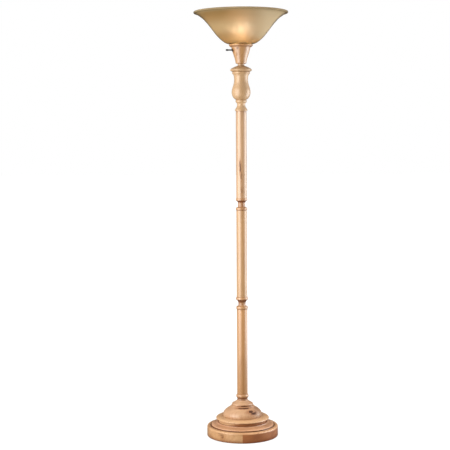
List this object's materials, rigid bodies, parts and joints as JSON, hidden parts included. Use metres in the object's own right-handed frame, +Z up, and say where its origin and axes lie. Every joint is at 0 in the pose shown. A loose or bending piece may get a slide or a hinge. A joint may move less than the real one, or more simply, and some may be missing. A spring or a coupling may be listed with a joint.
{
  "type": "torchiere floor lamp",
  "caption": "Floor lamp: turned wooden pole on a round weighted base, with an upturned frosted glass bell shade and a side turn key.",
  "frame": {"origin": "middle of the underside, on the floor", "axes": "+Z up along the pole; the turn key points to -X and a little forward (-Y); the cord bushing is at the back (+Y)"},
  "size_m": [0.396, 0.396, 1.8],
  "materials": {
    "birch": "clear satin lacquer, natural knots",
    "birch_dark": "clear satin lacquer, darker heartwood board",
    "amber_glass": "frosted amber",
    "bulb_glass": "frosted white",
    "brass": "satin",
    "steel": "zinc plated",
    "aluminium": "plain",
    "iron": "raw casting",
    "black_plastic": "moulded",
    "felt": "felt",
    "cork": "pressed cork ring",
    "card": "fibre paper"
  },
  "bodies": {
    "stand": {"felt_pad": "felt", "plinth_left_board": "birch", "plinth_right_board": "birch_dark", "ogee_disc": "birch", "torus_step": "birch", "dome": "birch", "foot_collar": "birch", "base_weight": "iron", "base_washer": "steel", "base_nut": "steel", "cord_bushing": "black_plastic", "pole_lower": "birch", "joint_lower": "birch", "pole_middle": "birch", "joint_upper": "birch", "pole_upper": "birch", "pipe_lower": "steel", "coupler_lower": "steel", "pipe_middle": "steel", "coupler_upper": "steel", "pipe_upper": "steel", "urn_foot": "birch", "urn": "birch", "urn_cap": "birch", "spacer": "birch", "socket_cup": "birch", "flange_ring": "birch", "cup_washer": "steel", "cup_nut": "steel", "socket_cap": "brass", "socket_shell": "brass", "socket_liner": "card", "switch_body": "black_plastic", "screw_shell": "brass", "socket_contact": "brass", "shade_seat": "brass", "seat_screw_1": "steel", "seat_screw_2": "steel", "seat_screw_3": "steel", "shade_gasket": "cork"},
    "turn_key": {"key_stem": "steel", "key_knob": "black_plastic"},
    "bulb": {"bulb_contact": "brass", "bulb_cap": "aluminium", "bulb_glass": "bulb_glass"},
    "shade": {"glass_shade": "amber_glass"}
  },
  "joints": [
    {"name": "key_turn", "type": "hinge", "parent": "stand", "child": "turn_key", "pos_m": [0, 0, 1.64], "axis": [-0.9781, -0.2079, 0], "continuous": true},
    {"name": "bulb_out", "type": "slide", "parent": "stand", "child": "bulb", "axis": [0, 0, 1], "range_m": [0, 0.03]},
    {"name": "shade_lift", "type": "slide", "parent": "stand", "child": "shade", "axis": [0, 0, 1], "range_m": [0, 0.1]}
  ]
}
